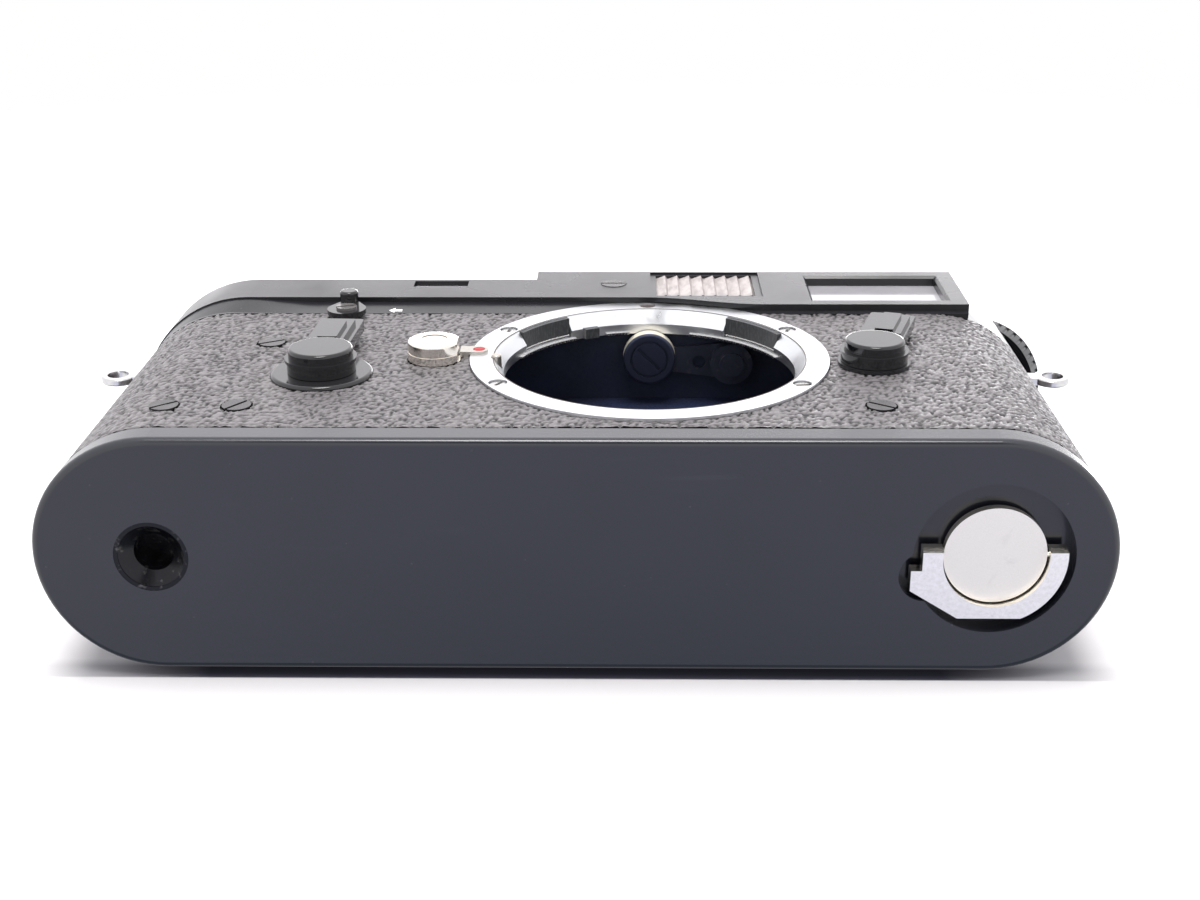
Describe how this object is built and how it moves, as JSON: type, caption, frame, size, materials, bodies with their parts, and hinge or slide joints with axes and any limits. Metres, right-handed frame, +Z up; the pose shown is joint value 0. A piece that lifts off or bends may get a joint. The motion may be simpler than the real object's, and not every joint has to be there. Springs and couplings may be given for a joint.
{
  "type": "rangefinder camera",
  "caption": "Film camera body with stadium-shaped case, open bayonet lens mount, finder windows, front levers, film advance, rewind crank, hinged back door and locking base plate.",
  "frame": {"origin": "centre of the base plate's underside, on which the camera stands", "axes": "+Z up, +X to the right in a front view (the rewind side), +Y from the lens mount towards the back"},
  "size_m": [0.1488, 0.0377, 0.0748],
  "materials": {
    "black_enamel": "satin black enamel over brass",
    "casting_black": "matt black die casting",
    "vulcanite": "pebbled black covering",
    "bright_chrome": "polished chrome",
    "satin_chrome": "satin chrome",
    "blackened_steel": "blackened steel",
    "gloss_black": "gloss black paint",
    "spring_steel": "bright spring steel",
    "black_plastic": "black plastic",
    "frosted_plastic": "frosted ribbed plastic",
    "clear_glass": "coated glass",
    "seal_wax": "dark sealing lacquer",
    "shutter_cloth": "rubberised black cloth",
    "bright_brass": "brass"
  },
  "bodies": {
    "camera_body": {"body_shell": "casting_black", "body_covering": "vulcanite", "inner_frame": "casting_black", "film_gate": "satin_chrome", "light_chamber": "casting_black", "shutter_curtain": "shutter_cloth", "shutter_rollers": "bright_brass", "mount_ring": "bright_chrome", "mount_screws": "spring_steel", "mount_seal": "seal_wax", "mount_baffle": "blackened_steel", "bayonet_spring": "spring_steel", "lens_index_tongue": "satin_chrome", "self_timer_flange": "gloss_black", "frame_lever_collar": "gloss_black", "body_screws": "blackened_steel", "top_plate": "black_enamel", "viewfinder_frame": "black_enamel", "viewfinder_glass": "clear_glass", "illumination_window": "frosted_plastic", "rangefinder_window": "clear_glass", "finder_block": "casting_black", "eyepiece_ring": "gloss_black", "eyepiece_glass": "clear_glass", "sync_sockets": "bright_brass", "counter_window": "clear_glass", "strap_lugs": "bright_chrome", "accessory_shoe": "satin_chrome", "shoe_screws": "spring_steel", "door_hinge_pin": "spring_steel"},
    "lens_release": {"lens_release_button": "bright_chrome", "lens_lock_pin": "satin_chrome"},
    "self_timer": {"self_timer_lever": "gloss_black", "self_timer_cap": "gloss_black"},
    "frame_selector": {"frame_selector_lever": "gloss_black", "frame_lever_cap": "gloss_black"},
    "rewind_catch": {"rewind_release_lever": "gloss_black", "rewind_release_screw": "blackened_steel"},
    "advance": {"advance_lever": "gloss_black", "advance_lever_tip": "black_plastic"},
    "speed_dial": {"shutter_speed_dial": "gloss_black"},
    "release_button": {"shutter_button": "gloss_black"},
    "counter": {"frame_counter": "blackened_steel"},
    "rewind": {"rewind_knob": "gloss_black"},
    "crank": {"rewind_crank": "gloss_black"},
    "fork": {"rewind_fork": "blackened_steel"},
    "spool": {"take_up_spool": "bright_brass"},
    "sprocket": {"film_sprocket": "blackened_steel"},
    "finder_arm": {"rangefinder_arm": "blackened_steel"},
    "finder_roller": {"rangefinder_roller": "blackened_steel"},
    "door": {"back_door": "casting_black", "door_covering": "vulcanite", "pressure_plate": "blackened_steel"},
    "film_dial": {"film_speed_dial": "gloss_black"},
    "base": {"base_plate": "black_enamel", "tripod_socket": "blackened_steel", "base_claw": "spring_steel", "lock_disc": "satin_chrome", "latch_cam": "blackened_steel"},
    "wing": {"lock_wing": "satin_chrome"}
  },
  "joints": [
    {"name": "self_timer_swing", "type": "hinge", "parent": "camera_body", "child": "self_timer", "pos_m": [-0.0349, -0.017, 0.0243], "axis": [0, -1, 0], "range_deg": [0, 180]},
    {"name": "frame_selector_swing", "type": "hinge", "parent": "camera_body", "child": "frame_selector", "pos_m": [0.0409, -0.017, 0.029], "axis": [0, -1, 0], "range_deg": [-30, 30], "stiffness_Nm_per_rad": 0.02},
    {"name": "rewind_catch_turn", "type": "hinge", "parent": "camera_body", "child": "rewind_catch", "pos_m": [-0.0355, -0.017, 0.0505], "axis": [0, 1, 0], "range_deg": [0, 80]},
    {"name": "lens_release_press", "type": "slide", "parent": "camera_body", "child": "lens_release", "axis": [0, 1, 0], "range_m": [0, 0.0018], "stiffness_N_per_m": 700, "springref_m": -0.001},
    {"name": "advance_stroke", "type": "hinge", "parent": "camera_body", "child": "advance", "pos_m": [-0.048, 0.001, 0.067], "axis": [0, 0, 1], "range_deg": [0, 150], "stiffness_Nm_per_rad": 0.01},
    {"name": "counter_turn", "type": "hinge", "parent": "camera_body", "child": "counter", "pos_m": [-0.0598, -0.0026, 0.0638], "axis": [0, 0, 1], "range_deg": [0, 10]},
    {"name": "spool_turn", "type": "hinge", "parent": "camera_body", "child": "spool", "pos_m": [-0.0529, 0, 0.03], "axis": [0, 0, 1], "range_deg": [0, 360]},
    {"name": "sprocket_turn", "type": "hinge", "parent": "camera_body", "child": "sprocket", "pos_m": [-0.0345, 0.0053, 0.03], "axis": [0, 0, 1], "range_deg": [0, 360]},
    {"name": "speed_dial_turn", "type": "hinge", "parent": "camera_body", "child": "speed_dial", "pos_m": [-0.0275, 0.0005, 0.068], "axis": [0, 0, 1], "range_deg": [-150, 150]},
    {"name": "shutter_press", "type": "slide", "parent": "camera_body", "child": "release_button", "axis": [0, 0, -1], "range_m": [0, 0.0022], "stiffness_N_per_m": 400, "springref_m": -0.001},
    {"name": "rewind_turn", "type": "hinge", "parent": "camera_body", "child": "rewind", "pos_m": [0.0639, -0.0005, 0.0675], "axis": [0.5, 0, 0.866], "continuous": true},
    {"name": "crank_fold", "type": "hinge", "parent": "rewind", "child": "crank", "pos_m": [0.05893, -0.0005, 0.07129], "axis": [0, -1, 0], "range_deg": [0, 120]},
    {"name": "fork_turn", "type": "hinge", "parent": "camera_body", "child": "fork", "pos_m": [0.0529, 0, 0.05], "axis": [0, 0, 1], "continuous": true},
    {"name": "finder_arm_swing", "type": "hinge", "parent": "camera_body", "child": "finder_arm", "pos_m": [0.0226, -0.0086, 0.052], "axis": [0, 0, 1], "range_deg": [-12, 0], "stiffness_Nm_per_rad": 0.01, "springref_deg": 11.46},
    {"name": "finder_roller_spin", "type": "hinge", "parent": "finder_arm", "child": "finder_roller", "pos_m": [0.0101, -0.0096, 0.0506], "axis": [0, 0, 1], "continuous": true},
    {"name": "door_swing", "type": "hinge", "parent": "camera_body", "child": "door", "pos_m": [0, 0.0155, 0.0466], "axis": [1, 0, 0], "range_deg": [0, 100]},
    {"name": "film_dial_turn", "type": "hinge", "parent": "door", "child": "film_dial", "pos_m": [-0.0005, 0.0164, 0.027], "axis": [0, 1, 0], "continuous": true},
    {"name": "base_swing", "type": "hinge", "parent": "camera_body", "child": "base", "pos_m": [-0.069, 0, 0.0041], "axis": [0, 1, 0], "range_deg": [0, 30]},
    {"name": "wing_fold", "type": "hinge", "parent": "base", "child": "wing", "pos_m": [0.05345, 0, 0.00172], "axis": [-1, 0, 0], "range_deg": [0, 90]}
  ],
  "couplings": [
    {"joint": "counter_turn", "follows": "advance_stroke", "ratio": 0.06},
    {"joint": "spool_turn", "follows": "advance_stroke", "ratio": 2.4},
    {"joint": "sprocket_turn", "follows": "advance_stroke", "ratio": 2.4},
    {"joint": "fork_turn", "follows": "rewind_turn", "ratio": -1}
  ]
}
